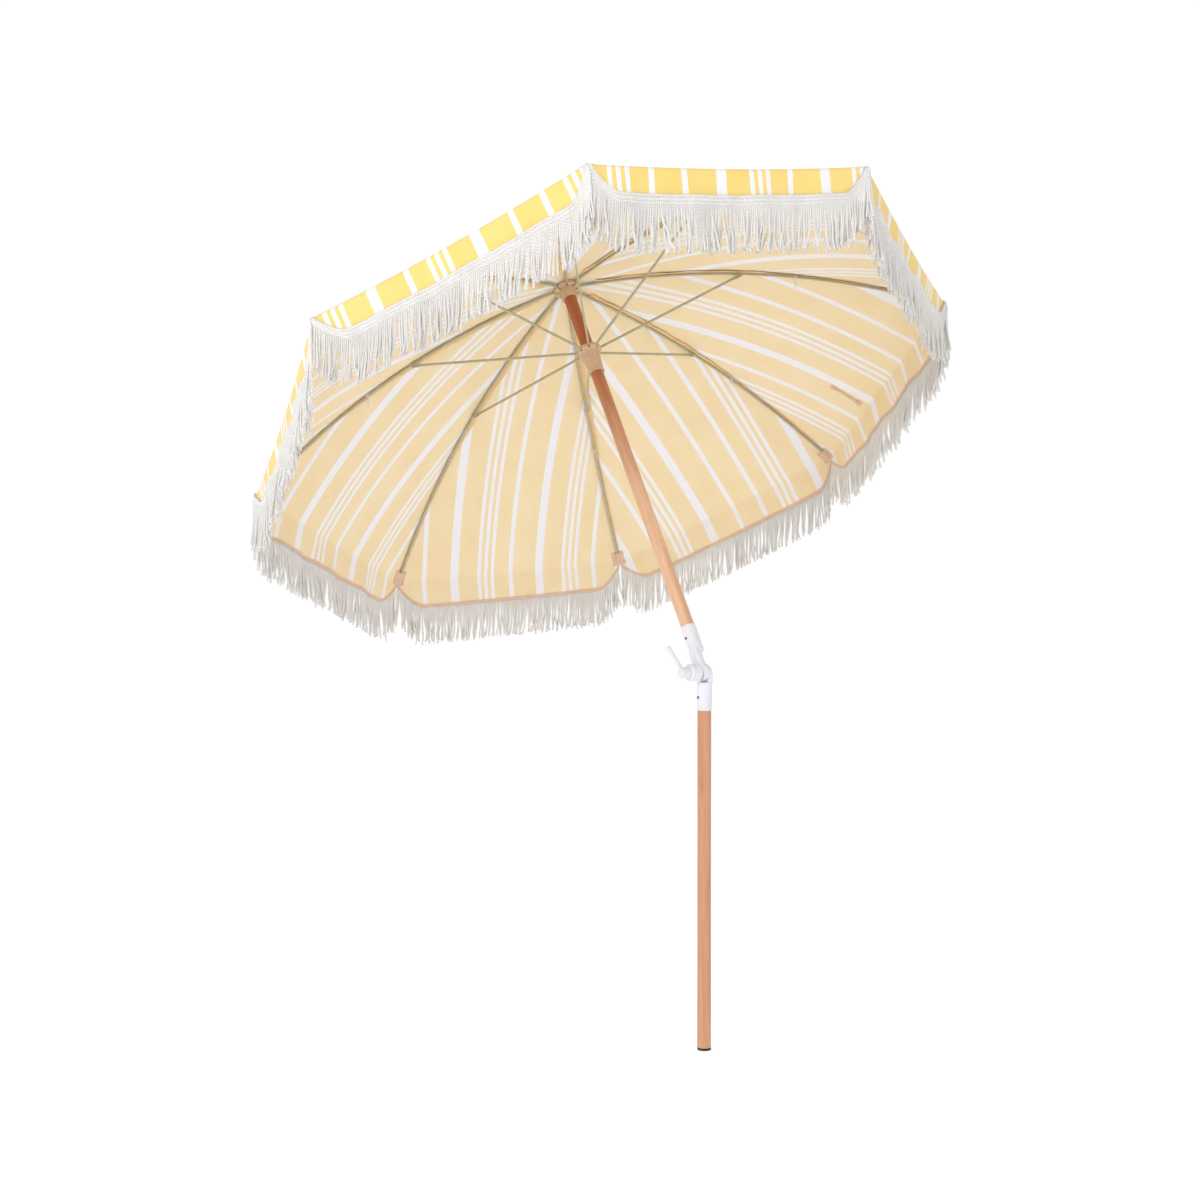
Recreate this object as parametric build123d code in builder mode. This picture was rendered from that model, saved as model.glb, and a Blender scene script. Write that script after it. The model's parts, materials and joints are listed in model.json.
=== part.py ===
from build123d import *
from math import asin, atan2, cos, hypot, radians, sin
import os

# Beach umbrella: two lengths of round wood pole with a metal tilt joint between them,
# eight bowed ribs and eight struts on a hub and a runner, a gored canopy and its valance.
# Millimetres, +Z up along the lower pole, origin at the middle of the lower pole's foot.
# The umbrella stands opened and leaning towards +Y. The hinge of the tilt joint lies along X.

os.makedirs("parts", exist_ok=True)

# ---- driving dimensions ----
RIB_COUNT = 8
STEP = 360 / RIB_COUNT  # degrees from one rib to the next
HALF_STEP = radians(STEP / 2)

LEAN = 31.8  # degrees that the upper pole leans from upright
CANOPY_TURN = 13.2  # degrees from the hinge's axis to rib 1, about the upper pole

POLE_R = 16.0
TENON_R = 15.0  # the poles' turned ends inside the joint's sleeves
HINGE_Z = 865.0  # height of the tilt hinge over the foot
HUB_UP = 1120.0  # from the tilt hinge to the ribs' pivots, along the upper pole

FOOT_CAP_R = 15.9
FOOT_CAP_H = 6.0

SLEEVE_R = 17.4
SLEEVE_BORE_R = 15.1
LOWER_SLEEVE_END = 87.0  # below the hinge
LOWER_SLEEVE_STEP = 23.0
UPPER_SLEEVE_END = 120.0  # above the hinge
UPPER_SLEEVE_STEP = 54.0
EAR_R = 20.0
EAR_GAP = 0.4  # from the middle plane to each ear
PIN_R = 4.0
PIN_FIT = 0.05
DRUM_R = 20.0
DRUM_FROM, DRUM_TO = 17.9, 45.0
LEVER_HUB_R = 12.5
LEVER_HUB_TO = 69.0
LEVER_LENGTH = 78.0
LEVER_ELEVATION = 48.0  # degrees over the horizontal
LEVER_SPLAY = 7.0  # degrees away from the joint
SCREW_R = 2.0

PIVOT_R = 27.0  # radius of the wire rings that the ribs and struts turn on
WIRE_R = 1.2
EYE_R = 3.5
EYE_HOLE_R = 1.35
EYE_T = 3.0
SLOT_W = 4.2
SLOT_IN_R = 22.4

TIP_R = 882.0  # from the upper pole's axis to a rib's tip
TIP_DROP = 345.0  # from the ribs' pivots down to their tips
RIB_BOW = 15.5  # degrees between the rib's chord and its ends
RIB_W, RIB_H = 5.0, 6.0
STRUT_AT_R = 438.0  # from the axis to the joint of rib and strut
STRUT_W, STRUT_H = 4.4, 5.0
FORK_T, FORK_LENGTH, FORK_GAP = 1.3, 24.0, 0.3
RIVET_R = 1.5

RUNNER_FLANGE_R = 31.0
HUB_FLANGE_R = 33.5
FLANGE_UP, FLANGE_DOWN = 4.5, 6.5
RUNNER_BORE_R = 16.3
RUNNER_LENGTH = 70.0
BUTTON_R = 4.5
BUTTON_DOWN = 22.0  # below the struts' pivots
BUTTON_FROM, BUTTON_TO = 18.6, 26.0  # its ends, from the pole's axis

CLOTH_T = 1.5
CLOTH_OVER_RIB = 1.2
CLOTH_INNER_R = 31.0
VALANCE_DROP = 65.0
FRINGE_DROP = 110.0
VALANCE_T = 3.0
VALANCE_OUT = 8.0  # from a rib's tip out to the valance
CLOTH_GAP = 0.15  # from a gore's middle to each panel's edge

# ---- worked out ----
chord = hypot(TIP_R - PIVOT_R, TIP_DROP)
chord_slope = atan2(TIP_DROP, TIP_R - PIVOT_R)
bow_radius = chord / (2 * sin(radians(RIB_BOW)))
start_slope = chord_slope - radians(RIB_BOW)


def rib_drop(radius):
    """How far the rib's centre line lies below its pivot, at this distance from the pole's axis."""
    slope = asin((radius - PIVOT_R) / bow_radius + sin(start_slope))
    return bow_radius * (cos(start_slope) - cos(slope))


strut_drop = rib_drop(STRUT_AT_R)
runner_down = 2 * strut_drop  # rib and strut are of one length from pivot to joint, so the fold is exact
strut_length = hypot(STRUT_AT_R - PIVOT_R, strut_drop)
strut_rise = atan2(strut_drop, STRUT_AT_R - PIVOT_R)

upper = Plane(origin=(0, 0, HINGE_Z), x_dir=(1, 0, 0), z_dir=(0, sin(radians(LEAN)), cos(radians(LEAN))))
hub_plane = upper.offset(HUB_UP)


def spoke(angle, origin_r=0.0, origin_z=0.0):
    """The upright plane through the upper pole at this angle: x outwards, y along the pole."""
    a = radians(angle)
    out = hub_plane.x_dir * cos(a) + hub_plane.y_dir * sin(a)
    side = hub_plane.y_dir * cos(a) - hub_plane.x_dir * sin(a)
    start = hub_plane.origin + out * origin_r + hub_plane.z_dir * origin_z
    return Plane(origin=start, x_dir=out, z_dir=-side)


def finish(builder, label):
    builder.part.label = label
    export_step(builder.part, f"parts/{label}.step")


rib_angles = [CANOPY_TURN + STEP * i for i in range(RIB_COUNT)]

# ---- lower pole and its foot cap ----
TENON_FROM_HINGE = 30.0
SCREW_FROM_END = 30.0  # from each sleeve's open end to its screws
CAP_SPIGOT_R, CAP_SPIGOT_H = 8.0, 20.0

with BuildPart() as lower_pole:
    with BuildSketch(Plane.XY.offset(FOOT_CAP_H)):
        Circle(POLE_R)
    extrude(amount=HINGE_Z - LOWER_SLEEVE_END - FOOT_CAP_H)
    with BuildSketch(Plane.XY.offset(HINGE_Z - LOWER_SLEEVE_END)):
        Circle(TENON_R)
    extrude(amount=LOWER_SLEEVE_END - TENON_FROM_HINGE)
    with BuildSketch(Plane.XY.offset(FOOT_CAP_H)):
        Circle(CAP_SPIGOT_R)
    extrude(amount=CAP_SPIGOT_H, mode=Mode.SUBTRACT)
    with BuildSketch(Plane(origin=(0, 0, HINGE_Z - LOWER_SLEEVE_END + SCREW_FROM_END), z_dir=(1, 0, 0))):
        Circle(SCREW_R)
    extrude(amount=POLE_R, both=True, mode=Mode.SUBTRACT)
finish(lower_pole, "lower_pole")

with BuildPart() as foot_cap:
    with BuildSketch(Plane.XY):
        Circle(FOOT_CAP_R)
    extrude(amount=FOOT_CAP_H)
    chamfer(foot_cap.edges().group_by(Axis.Z)[0], 1.0)
    with BuildSketch(Plane.XY.offset(FOOT_CAP_H)):
        Circle(CAP_SPIGOT_R)
    extrude(amount=CAP_SPIGOT_H)
finish(foot_cap, "foot_cap")


# ---- tilt joint ----
SLEEVE_WEB = 6.0  # solid stretch between the step and the bore
EAR_INTO_SLEEVE = 3.0
EAR_SHOULDER = 3.0
EAR_TURN = 26.0  # the ear begins to thin this far before the hinge
LOWER_EAR_TIP, UPPER_EAR_TIP = 3.0, 13.0  # thickness out from the middle plane, at each ear's tip


def half_lap_sleeve(base, side, end, step, ear_tip, label):
    """A sleeve round a pole's end that runs on past its step as one ear, thinner towards its tip."""
    ear_plane = Plane(
        origin=base.origin + base.x_dir * side * EAR_GAP, x_dir=base.y_dir, z_dir=base.x_dir * side
    )
    up = 1 if ear_plane.y_dir.dot(base.z_dir) > 0 else -1
    ear_height = step + EAR_INTO_SLEEVE
    screw_plane = Plane(origin=base.origin + base.z_dir * (end - SCREW_FROM_END), z_dir=base.x_dir)
    with BuildPart() as sleeve:
        with BuildSketch(ear_plane):
            Circle(EAR_R)
            with Locations((0, up * ear_height / 2)):
                Rectangle(2 * SLEEVE_R - EAR_SHOULDER, ear_height)
        extrude(amount=SLEEVE_R - EAR_GAP)
        with BuildSketch(base.offset(-EAR_R)):
            Circle(EAR_R)
        extrude(amount=EAR_R + ear_height, mode=Mode.INTERSECT)
        with BuildSketch(base.offset(step)):
            Circle(SLEEVE_R)
        extrude(amount=end - step)
        with BuildSketch(base.offset(step + SLEEVE_WEB)):
            Circle(SLEEVE_BORE_R)
        extrude(amount=end - step - SLEEVE_WEB, mode=Mode.SUBTRACT)
        outside = SLEEVE_R + EAR_SHOULDER
        bulge = (SLEEVE_R + ear_tip) / 2 + EAR_GAP
        with BuildSketch(Plane(origin=base.origin, x_dir=base.x_dir * side, z_dir=base.y_dir * -side)):
            with BuildLine():
                ThreePointArc((SLEEVE_R, EAR_TURN), (bulge, 0), (ear_tip, -EAR_R))
                Polyline((ear_tip, -EAR_R), (ear_tip, -outside), (outside, -outside), (outside, EAR_TURN))
                Line((outside, EAR_TURN), (SLEEVE_R, EAR_TURN))
            make_face()
        extrude(amount=EAR_R, both=True, mode=Mode.SUBTRACT)
        with BuildSketch(ear_plane):
            Circle(PIN_R + PIN_FIT)
        extrude(amount=SLEEVE_R, mode=Mode.SUBTRACT)
        with BuildSketch(screw_plane):
            Circle(SCREW_R)
        extrude(amount=SLEEVE_R + 1, both=True, mode=Mode.SUBTRACT)
    finish(sleeve, label)


down = Plane(origin=(0, 0, HINGE_Z), x_dir=(1, 0, 0), z_dir=(0, 0, -1))
half_lap_sleeve(down, 1, LOWER_SLEEVE_END, LOWER_SLEEVE_STEP, LOWER_EAR_TIP, "lower_tilt_sleeve")
half_lap_sleeve(upper, -1, UPPER_SLEEVE_END, UPPER_SLEEVE_STEP, UPPER_EAR_TIP, "upper_tilt_sleeve")

SCREW_HEAD_R, SCREW_HEAD_H, SCREW_LENGTH = 3.2, 1.4, 9.0


def sleeve_screws(base, end, label):
    """Two round-headed screws that hold a sleeve on its pole, from both sides."""
    with BuildPart() as screws:
        for side in (-1, 1):
            at = base.origin + base.z_dir * (end - SCREW_FROM_END) + base.x_dir * side * SLEEVE_R
            with BuildSketch(Plane(origin=at, z_dir=base.x_dir * side)):
                Circle(SCREW_HEAD_R)
            extrude(amount=SCREW_HEAD_H)
            with BuildSketch(Plane(origin=at, z_dir=base.x_dir * -side)):
                Circle(SCREW_R - PIN_FIT)
            extrude(amount=SCREW_LENGTH - SCREW_HEAD_H)
    finish(screws, label)


sleeve_screws(down, LOWER_SLEEVE_END, "lower_sleeve_screws")
sleeve_screws(upper, UPPER_SLEEVE_END, "upper_sleeve_screws")

BOLT_FROM, BOLT_TO = -9.0, 62.0  # its ends, from the middle plane towards the lever

with BuildPart() as pivot_bolt:
    with BuildSketch(Plane(origin=(-BOLT_FROM, 0, HINGE_Z), z_dir=(-1, 0, 0))):
        Circle(PIN_R)
    extrude(amount=BOLT_TO - BOLT_FROM)
    chamfer(pivot_bolt.edges().sort_by(Axis.X)[-1], 0.5)
finish(pivot_bolt, "tilt_pivot_bolt")

with BuildPart() as drum:
    with BuildSketch(Plane(origin=(-DRUM_FROM, 0, HINGE_Z), z_dir=(-1, 0, 0))):
        Circle(DRUM_R)
        Circle(PIN_R + PIN_FIT, mode=Mode.SUBTRACT)
    extrude(amount=DRUM_TO - DRUM_FROM)
    chamfer(drum.faces().sort_by(Axis.X)[0].outer_wire().edges(), 3.0)
    chamfer(drum.faces().sort_by(Axis.X)[-1].outer_wire().edges(), 1.0)
finish(drum, "tilt_clamp_drum")

LEVER_GAP = 0.4
LEVER_ROOT_R, LEVER_TIP_R = 4.6, 6.2
lever_middle = (DRUM_TO + LEVER_HUB_TO) / 2
lever_dir = Vector(
    -sin(radians(LEVER_SPLAY)),
    cos(radians(LEVER_SPLAY)) * cos(radians(LEVER_ELEVATION)),
    cos(radians(LEVER_SPLAY)) * sin(radians(LEVER_ELEVATION)),
)

with BuildPart() as lever:
    with BuildSketch(Plane(origin=(-DRUM_TO - LEVER_GAP, 0, HINGE_Z), z_dir=(-1, 0, 0))):
        Circle(LEVER_HUB_R)
    extrude(amount=LEVER_HUB_TO - DRUM_TO - LEVER_GAP)
    fillet(lever.faces().sort_by(Axis.X)[0].edges(), 5.0)
    lever_foot = Plane(origin=(-lever_middle, 0, HINGE_Z), z_dir=lever_dir)
    with BuildSketch(lever_foot.offset(LEVER_HUB_R / 2)):
        Circle(LEVER_ROOT_R)
    with BuildSketch(lever_foot.offset(LEVER_LENGTH)):
        Circle(LEVER_TIP_R)
    loft()
    fillet(lever.edges().sort_by(Axis(lever_foot.origin, lever_dir))[-1], 2.5)
    with BuildSketch(Plane(origin=(-DRUM_TO, 0, HINGE_Z), z_dir=(-1, 0, 0))):
        Circle(PIN_R + PIN_FIT)
    extrude(amount=BOLT_TO - DRUM_TO + 1, mode=Mode.SUBTRACT)
finish(lever, "tilt_lever")

# ---- upper pole ----
UPPER_TENON = 58.0
TOP_SCREW_R, TOP_SCREW_DEPTH = 3.0, 24.0
BUTTON_ANGLE = 180.0  # on the lever's side
button_spoke = spoke(BUTTON_ANGLE, 0, -runner_down - BUTTON_DOWN)
button_out = button_spoke.x_dir
upper_screws = upper.offset(UPPER_SLEEVE_END - SCREW_FROM_END)

with BuildPart() as upper_pole:
    with BuildSketch(upper.offset(UPPER_SLEEVE_END)):
        Circle(POLE_R)
    extrude(amount=HUB_UP + FLANGE_UP - UPPER_SLEEVE_END)
    with BuildSketch(upper.offset(UPPER_SLEEVE_END)):
        Circle(TENON_R)
    extrude(amount=-UPPER_TENON)
    with BuildSketch(hub_plane.offset(FLANGE_UP)):
        Circle(TOP_SCREW_R)
    extrude(amount=-TOP_SCREW_DEPTH, mode=Mode.SUBTRACT)
    with BuildSketch(Plane(origin=upper_screws.origin, z_dir=upper.x_dir)):
        Circle(SCREW_R)
    extrude(amount=POLE_R, both=True, mode=Mode.SUBTRACT)
finish(upper_pole, "upper_pole")


# ---- hub, runner and their wire rings ----
def section_plane(plane):
    return Plane(origin=plane.origin, x_dir=plane.x_dir, z_dir=-plane.y_dir)


def flange_cutter(plane):
    """Eight slots in which the ribs' or struts' eyes turn, and the channel that the wire ring lies in."""
    depth = HUB_FLANGE_R + 2 - SLOT_IN_R
    with BuildPart() as cutter:
        with BuildSketch(plane.offset(-FLANGE_DOWN - 1)):
            with PolarLocations(SLOT_IN_R + depth / 2, RIB_COUNT, start_angle=CANOPY_TURN):
                Rectangle(depth, SLOT_W)
        extrude(amount=FLANGE_DOWN + FLANGE_UP + 2)
        with BuildSketch(section_plane(plane)):
            with Locations((PIVOT_R, 0)):
                Circle(WIRE_R + PIN_FIT)
        revolve(axis=Axis(plane.origin, plane.z_dir))
    return cutter.part


HUB_SKIRT_TOP_R, HUB_SKIRT_END_R, HUB_SKIRT = 23.0, 20.5, 32.0
HUB_BORE_R = 16.05
hub_cutter = flange_cutter(hub_plane)

with BuildPart() as top_hub:
    with BuildSketch(section_plane(hub_plane)):
        with BuildLine():
            Polyline(
                (HUB_BORE_R, FLANGE_UP),
                (HUB_FLANGE_R - 1.5, FLANGE_UP),
                (HUB_FLANGE_R, FLANGE_UP - 1.5),
                (HUB_FLANGE_R, -FLANGE_DOWN + 2),
                (HUB_FLANGE_R - 2, -FLANGE_DOWN),
                (HUB_SKIRT_TOP_R, -FLANGE_DOWN),
                (HUB_SKIRT_END_R, -HUB_SKIRT),
                (HUB_BORE_R, -HUB_SKIRT),
                close=True,
            )
        make_face()
    revolve(axis=Axis(hub_plane.origin, hub_plane.z_dir))
    add(hub_cutter, mode=Mode.SUBTRACT)
finish(top_hub, "top_hub")

runner_plane = hub_plane.offset(-runner_down)
RUNNER_WAIST_R, RUNNER_END_R, RUNNER_LIP_R = 24.0, 19.2, 20.4
RUNNER_LIP = 7.0
runner_cutter = flange_cutter(runner_plane)

with BuildPart() as runner:
    with BuildSketch(section_plane(runner_plane)):
        with BuildLine():
            Polyline(
                (RUNNER_BORE_R, FLANGE_UP),
                (RUNNER_FLANGE_R - 2, FLANGE_UP),
                (RUNNER_FLANGE_R, FLANGE_UP - 2),
                (RUNNER_FLANGE_R, -FLANGE_DOWN + 2),
                (RUNNER_FLANGE_R - 2, -FLANGE_DOWN),
                (RUNNER_WAIST_R + 3, -FLANGE_DOWN - 1),
                (RUNNER_WAIST_R, -FLANGE_DOWN - 7),
                (RUNNER_END_R, -RUNNER_LENGTH + RUNNER_LIP),
                (RUNNER_LIP_R, -RUNNER_LENGTH + RUNNER_LIP - 2),
                (RUNNER_LIP_R, -RUNNER_LENGTH + 1),
                (RUNNER_LIP_R - 1, -RUNNER_LENGTH),
                (RUNNER_BORE_R, -RUNNER_LENGTH),
                close=True,
            )
        make_face()
    revolve(axis=Axis(runner_plane.origin, runner_plane.z_dir))
    add(runner_cutter, mode=Mode.SUBTRACT)
    with BuildSketch(Plane(origin=button_spoke.origin + button_out * POLE_R, z_dir=button_out)):
        Circle(BUTTON_R + PIN_FIT)
    extrude(amount=BUTTON_TO, mode=Mode.SUBTRACT)
finish(runner, "runner")


def wire_ring(plane, label):
    with BuildPart() as ring:
        with BuildSketch(section_plane(plane)):
            with Locations((PIVOT_R, 0)):
                Circle(WIRE_R)
        revolve(axis=Axis(plane.origin, plane.z_dir))
    finish(ring, label)


wire_ring(hub_plane, "hub_wire_ring")
wire_ring(runner_plane, "runner_wire_ring")

# ---- the runner's spring button ----
BUTTON_BLUNT = 1.2

with BuildPart() as button:
    with BuildSketch(Plane(origin=button_spoke.origin + button_out * BUTTON_FROM, z_dir=button_out)):
        Circle(BUTTON_R)
    extrude(amount=BUTTON_TO - BUTTON_FROM)
    fillet(button.edges().sort_by(Axis(button_spoke.origin, button_out))[-1], BUTTON_BLUNT)
finish(button, "runner_button")

# ---- crown patch and top cap over the canopy's middle ----
PATCH_R, PATCH_T = 46.0, 1.2
PATCH_FALL = 2.0  # from the patch's flat middle down to its rim
CAP_R, CAP_BRIM = 26.0, 3.0
DOME_TOP_R, DOME_H = 6.4, 6.0
BALL_R, BALL_RISE = 8.0, 4.8
cloth_top = FLANGE_UP + CLOTH_T + 1.0
cap_base = cloth_top + PATCH_T + 0.3
dome_base = cap_base + CAP_BRIM
dome_end = dome_base + DOME_H

with BuildPart() as crown_patch:
    with BuildSketch(section_plane(hub_plane)):
        with BuildLine():
            Polyline(
                (TOP_SCREW_R + 0.5, cloth_top),
                (HUB_FLANGE_R, cloth_top),
                (PATCH_R, cloth_top - PATCH_FALL),
                (PATCH_R, cloth_top - PATCH_FALL + PATCH_T),
                (HUB_FLANGE_R, cloth_top + PATCH_T),
                (TOP_SCREW_R + 0.5, cloth_top + PATCH_T),
                close=True,
            )
        make_face()
    revolve(axis=Axis(hub_plane.origin, hub_plane.z_dir))
finish(crown_patch, "canopy_crown_patch")

with BuildPart() as top_cap:
    with BuildSketch(section_plane(hub_plane)):
        with BuildLine():
            Polyline((0, cap_base), (CAP_R, cap_base), (CAP_R, dome_base))
            TangentArc((CAP_R, dome_base), (DOME_TOP_R, dome_end), tangent=(-0.3, 1))
            Polyline((DOME_TOP_R, dome_end), (0, dome_end), (0, cap_base))
        make_face()
    revolve(axis=Axis(hub_plane.origin, hub_plane.z_dir))
    with Locations(hub_plane.offset(dome_end + BALL_RISE)):
        Sphere(BALL_R)
    with BuildSketch(hub_plane.offset(cap_base)):
        Circle(TOP_SCREW_R - PIN_FIT)
    extrude(amount=-(cap_base - FLANGE_UP + TOP_SCREW_DEPTH - 2))
finish(top_cap, "top_cap")


# ---- ribs ----
def rib_point(radius, over=0.0):
    """A point of the rib's plane on the bow, or this far outside it."""
    slope = asin((radius - PIVOT_R) / bow_radius + sin(start_slope))
    return (radius + over * sin(slope), -rib_drop(radius) + over * cos(slope))


BLADE_END_R = 44.0
BLADE_LAP = 4.0  # the bar begins this far inside the blade's end
BLADE_HALF_H = 2.7


def make_rib(number, angle):
    """A bowed bar with a flat eye on the hub's wire ring and the strut's rivet part way along it."""
    flat = spoke(angle)
    inner = BLADE_END_R - BLADE_LAP
    middle = (inner + TIP_R) / 2
    with BuildPart() as rib:
        with BuildSketch(flat):
            with BuildLine():
                ThreePointArc(
                    rib_point(inner, RIB_H / 2), rib_point(middle, RIB_H / 2), rib_point(TIP_R, RIB_H / 2)
                )
                Line(rib_point(TIP_R, RIB_H / 2), rib_point(TIP_R, -RIB_H / 2))
                ThreePointArc(
                    rib_point(TIP_R, -RIB_H / 2), rib_point(middle, -RIB_H / 2), rib_point(inner, -RIB_H / 2)
                )
                Line(rib_point(inner, -RIB_H / 2), rib_point(inner, RIB_H / 2))
            make_face()
        extrude(amount=RIB_W / 2, both=True)
        with BuildSketch(flat):
            with Locations((PIVOT_R, 0)):
                Circle(EYE_R)
            with BuildLine():
                Polyline(
                    (PIVOT_R, EYE_R),
                    rib_point(BLADE_END_R, BLADE_HALF_H),
                    rib_point(BLADE_END_R, -BLADE_HALF_H),
                    (PIVOT_R, -EYE_R),
                    close=True,
                )
            make_face()
        extrude(amount=EYE_T / 2, both=True)
        with BuildSketch(flat):
            with Locations((PIVOT_R, 0)):
                Circle(EYE_HOLE_R)
        extrude(amount=RIB_W, both=True, mode=Mode.SUBTRACT)
        with BuildSketch(flat):
            with Locations(rib_point(STRUT_AT_R)):
                Circle(RIVET_R)
        extrude(amount=RIB_W, both=True, mode=Mode.SUBTRACT)
    finish(rib, f"rib_{number}")


RIVET_HEAD_H, RIVET_HEAD_OVER, RIVET_GAP = 0.9, 1.1, 0.3


def make_rivet(number, angle):
    """The rivet that joins a strut's fork to its rib."""
    flat = spoke(angle)
    reach = RIB_W / 2 + FORK_GAP + FORK_T + RIVET_GAP
    with BuildPart() as rivet:
        with BuildSketch(flat):
            with Locations(rib_point(STRUT_AT_R)):
                Circle(RIVET_R)
        extrude(amount=reach, both=True)
        for side in (-1, 1):
            with BuildSketch(flat.offset(side * reach)):
                with Locations(rib_point(STRUT_AT_R)):
                    Circle(RIVET_R + RIVET_HEAD_OVER)
            extrude(amount=side * RIVET_HEAD_H)
    finish(rivet, f"strut_rivet_{number}")


STRUT_BLADE = 12.0  # from the eye to the end of the flat blade
STRUT_BLADE_H = 4.5
FORK_WEB = 4.0


def make_strut(number, angle):
    """A straight bar from the runner's wire ring to a fork round the rib."""
    pivot = spoke(angle, PIVOT_R, -runner_down)
    lengthwise = pivot.x_dir * cos(strut_rise) + pivot.y_dir * sin(strut_rise)
    along = Plane(origin=pivot.origin, x_dir=lengthwise, z_dir=pivot.z_dir)
    bar_from = STRUT_BLADE - FORK_WEB / 2
    fork_back = strut_length - FORK_LENGTH
    with BuildPart() as strut:
        with BuildSketch(along):
            Circle(EYE_R)
            with Locations((STRUT_BLADE / 2, 0)):
                Rectangle(STRUT_BLADE, STRUT_BLADE_H)
        extrude(amount=EYE_T / 2, both=True)
        with BuildSketch(along):
            with Locations(((bar_from + fork_back) / 2, 0)):
                Rectangle(fork_back - bar_from, STRUT_H)
        extrude(amount=STRUT_W / 2, both=True)
        with BuildSketch(along):
            with Locations((fork_back, 0)):
                Rectangle(FORK_WEB, STRUT_H)
        extrude(amount=RIB_W / 2 + FORK_GAP + FORK_T, both=True)
        for side in (-1, 1):
            with BuildSketch(along.offset(side * (RIB_W / 2 + FORK_GAP))):
                with Locations(((fork_back + strut_length) / 2, 0)):
                    Rectangle(FORK_LENGTH, STRUT_H)
                with Locations((strut_length, 0)):
                    Circle(STRUT_H / 2)
            extrude(amount=side * FORK_T)
        with BuildSketch(along):
            Circle(EYE_HOLE_R)
            with Locations((strut_length, 0)):
                Circle(RIVET_R + PIN_FIT)
        extrude(amount=RIB_W * 2, both=True, mode=Mode.SUBTRACT)
    finish(strut, f"strut_{number}")


# ---- canopy: a panel of cloth over each rib, from the middle of one gore to the middle of the next ----
CLOTH_STATIONS = 9
CLOTH_FLAT_R = 36.0  # the cloth runs level over the hub to here
CLOTH_DOWN_R = 84.0  # and lies on the ribs from here


def cloth_height(radius):
    """Height of the cloth's under face over the ribs' pivots, along a rib."""
    on_rib = -rib_drop(radius) + (RIB_H / 2 + CLOTH_OVER_RIB) / cos(start_slope + radius / bow_radius)
    level = FLANGE_UP + 0.6
    if radius <= CLOTH_FLAT_R:
        return level
    if radius >= CLOTH_DOWN_R:
        return on_rib
    share = (radius - CLOTH_FLAT_R) / (CLOTH_DOWN_R - CLOTH_FLAT_R)
    return level + (on_rib - level) * share


def cloth_section(flat):
    """The gore's cloth cut along its middle, as a face to be drawn out sideways."""
    last = TIP_R - 1
    radii = [CLOTH_INNER_R, CLOTH_FLAT_R] + [
        CLOTH_DOWN_R + (last - CLOTH_DOWN_R) * i / (CLOTH_STATIONS - 1) for i in range(CLOTH_STATIONS)
    ]
    under = [(r * cos(HALF_STEP), cloth_height(r)) for r in radii]
    over = [(x, z + CLOTH_T) for x, z in under]
    with BuildSketch(flat) as section:
        with BuildLine():
            Polyline(*under[:3])
            Spline(*under[2:])
            Line(under[-1], over[-1])
            Spline(*over[2:])
            Polyline(*over[:3])
            Line(over[0], under[0])
        make_face()
    return section.sketch


def make_panel(number, angle):
    """Two half gores that meet over the rib."""
    halves = []
    rib_flat = spoke(angle)
    for side in (-1, 1):
        gore_flat = spoke(angle + side * STEP / 2).offset(side * CLOTH_GAP)
        section = cloth_section(gore_flat)
        with BuildPart() as half:
            extrude(section, amount=side * TIP_R)
            split(bisect_by=rib_flat, keep=Keep.BOTTOM if side > 0 else Keep.TOP)
        halves.append(half.part)
    with BuildPart() as panel:
        add(halves)
    finish(panel, f"canopy_panel_{number}")


# ---- valance: the flap and its fringe, hanging plumb from each gore's edge ----
TIP_TAPER = 60.0  # the flap reaches its full depth this far from a rib's tip
CORNER_LAP = 1.5
PLUMB = Vector(0, 0, -1)


def tip_point(angle):
    flat = spoke(angle)
    return flat.from_local_coords((TIP_R + VALANCE_OUT, cloth_height(TIP_R - 1) + CLOTH_T, 0))


def make_valance(number, angle):
    """Two plates that run from a rib's tip to the middles of its gores."""
    corner = tip_point(angle)
    with BuildPart() as valance:
        for side in (-1, 1):
            hem = (tip_point(angle + side * STEP) - corner) / 2
            along = hem.normalized()
            face = Plane(origin=corner, x_dir=along, z_dir=along.cross(PLUMB))
            fall_x, fall_y = PLUMB.dot(face.x_dir), PLUMB.dot(face.y_dir)

            def at(run, fall):
                return (run + fall * fall_x, fall * fall_y)

            with BuildSketch(face):
                Polygon(
                    at(-CORNER_LAP, 0),
                    at(hem.length - CLOTH_GAP, 0),
                    at(hem.length - CLOTH_GAP, VALANCE_DROP + FRINGE_DROP),
                    at(TIP_TAPER, VALANCE_DROP + FRINGE_DROP),
                    at(-CORNER_LAP, FRINGE_DROP),
                    align=None,
                )
            extrude(amount=VALANCE_T / 2, both=True)
    finish(valance, f"valance_{number}")


for index, rib_angle in enumerate(rib_angles):
    make_rib(index + 1, rib_angle)
    make_rivet(index + 1, rib_angle)
    make_strut(index + 1, rib_angle)
    make_panel(index + 1, rib_angle)
    make_valance(index + 1, rib_angle)
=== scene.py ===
import bpy
import json
import math
import random
import numpy as np
from mathutils import Matrix


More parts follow.
